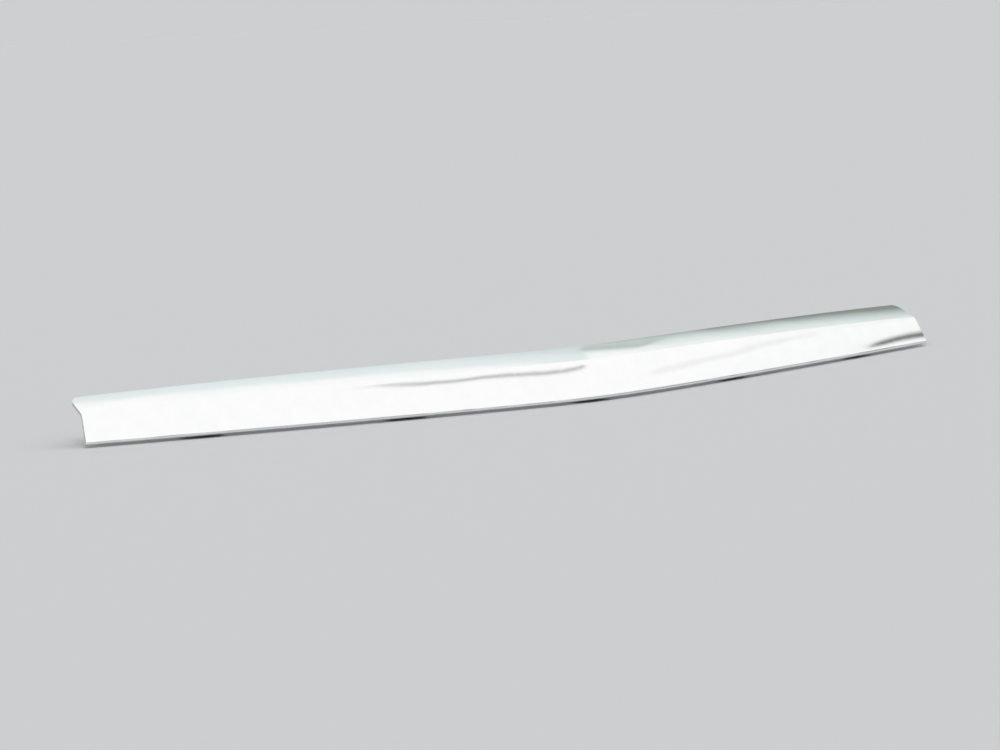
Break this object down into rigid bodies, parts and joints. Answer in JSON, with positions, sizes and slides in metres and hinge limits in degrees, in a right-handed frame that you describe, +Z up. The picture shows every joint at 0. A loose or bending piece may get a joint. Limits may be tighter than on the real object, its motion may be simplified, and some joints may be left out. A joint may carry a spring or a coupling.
{
  "type": "hood bug deflector",
  "caption": "Full-width chrome wrap-over bug deflector for a pickup's hood, with a soft point at the nose, a leaning face, a top flange and clamp brackets for the hood's front lip.",
  "frame": {"origin": "middle of the seat on which the hood's front lip rests in the middle bracket: the upper side of the lower leg of lip_liner_3", "axes": "+X along the hood's front edge, to the right when seen from in front; +Y back along the hood, away from whoever looks at the front; +Z up"},
  "size_m": [1.534, 0.2208, 0.0764],
  "materials": {
    "bright_chrome": "polished",
    "black_steel": "satin",
    "black_rubber": "matt",
    "zinc_steel": "satin",
    "black_foam": "matt"
  },
  "bodies": {
    "root": {"shield": "bright_chrome", "bracket_1": "black_steel", "bracket_2": "black_steel", "bracket_3": "black_steel", "bracket_4": "black_steel", "bracket_5": "black_steel", "lip_liner_1": "black_rubber", "lip_liner_2": "black_rubber", "lip_liner_3": "black_rubber", "lip_liner_4": "black_rubber", "lip_liner_5": "black_rubber", "shield_screws": "zinc_steel", "shield_nuts": "zinc_steel", "clamp_screws": "zinc_steel", "clamp_nuts": "zinc_steel", "edge_bumper_1": "black_rubber", "edge_bumper_2": "black_rubber", "edge_bumper_3": "black_rubber", "edge_bumper_4": "black_rubber", "edge_bumper_5": "black_rubber", "edge_bumper_6": "black_rubber", "edge_bumper_7": "black_rubber", "edge_bumper_8": "black_rubber", "end_pad_left": "black_foam", "end_pad_right": "black_foam"}
  },
  "joints": []
}
